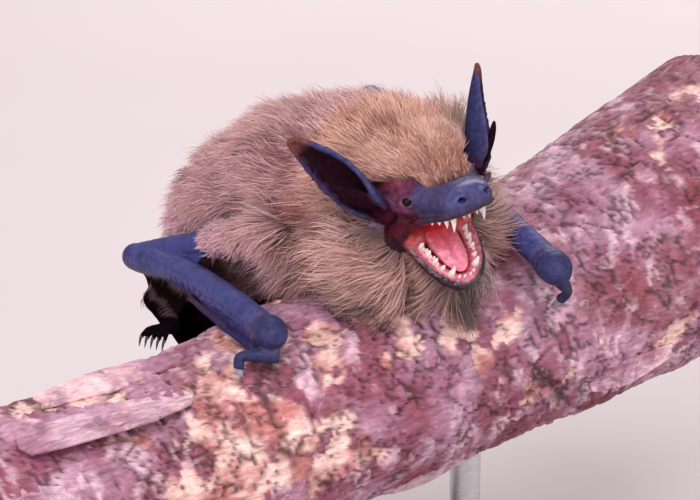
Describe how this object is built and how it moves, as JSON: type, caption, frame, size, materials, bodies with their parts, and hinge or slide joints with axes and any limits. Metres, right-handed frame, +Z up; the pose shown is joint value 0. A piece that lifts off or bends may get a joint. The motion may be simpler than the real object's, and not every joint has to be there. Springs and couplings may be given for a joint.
{
  "type": "brown bat model",
  "caption": "Life-size brown bat crouching on a cut branch with wings folded, ears up and mouth open, held by a small display stand.",
  "frame": {"origin": "middle of the stand's underside", "axes": "+Z up, -Y the way the bat faces, +X along the branch towards the bat's left side"},
  "size_m": [0.1367, 0.0751, 0.0912],
  "materials": {
    "fur": "long soft fur, matte",
    "bare_skin": "bare slate-blue skin, satin",
    "mouth": "wet mucous membrane, glossy",
    "eye": "glossy black",
    "claw": "translucent horn, satin",
    "bark": "scaly bark, matte",
    "stand_wood": "dark stained wood, satin",
    "steel": "satin"
  },
  "bodies": {
    "root": {"ear_left": "bare_skin", "ear_right": "bare_skin", "eye_left": "eye", "eye_right": "eye", "foot_left": "bare_skin", "foot_right": "bare_skin", "forearm_left": "bare_skin", "forearm_right": "bare_skin", "hand_left": "bare_skin", "hand_right": "bare_skin", "head": "fur", "lower_jaw": "bare_skin", "neck": "fur", "perch_branch": "bark", "shank_left": "bare_skin", "shank_right": "bare_skin", "stand_base": "stand_wood", "stand_rod_left": "steel", "stand_rod_right": "steel", "tail": "bare_skin", "tail_membrane_left": "bare_skin", "tail_membrane_right": "bare_skin", "thigh_left": "fur", "thigh_right": "fur", "thumb_claw_left": "claw", "thumb_claw_right": "claw", "thumb_left": "bare_skin", "thumb_right": "bare_skin", "tongue": "mouth", "tragus_left": "bare_skin", "tragus_right": "bare_skin", "trunk": "fur", "upper_arm_left": "bare_skin", "upper_arm_right": "bare_skin", "wing_membrane_left": "bare_skin", "wing_membrane_right": "bare_skin"}
  },
  "joints": []
}
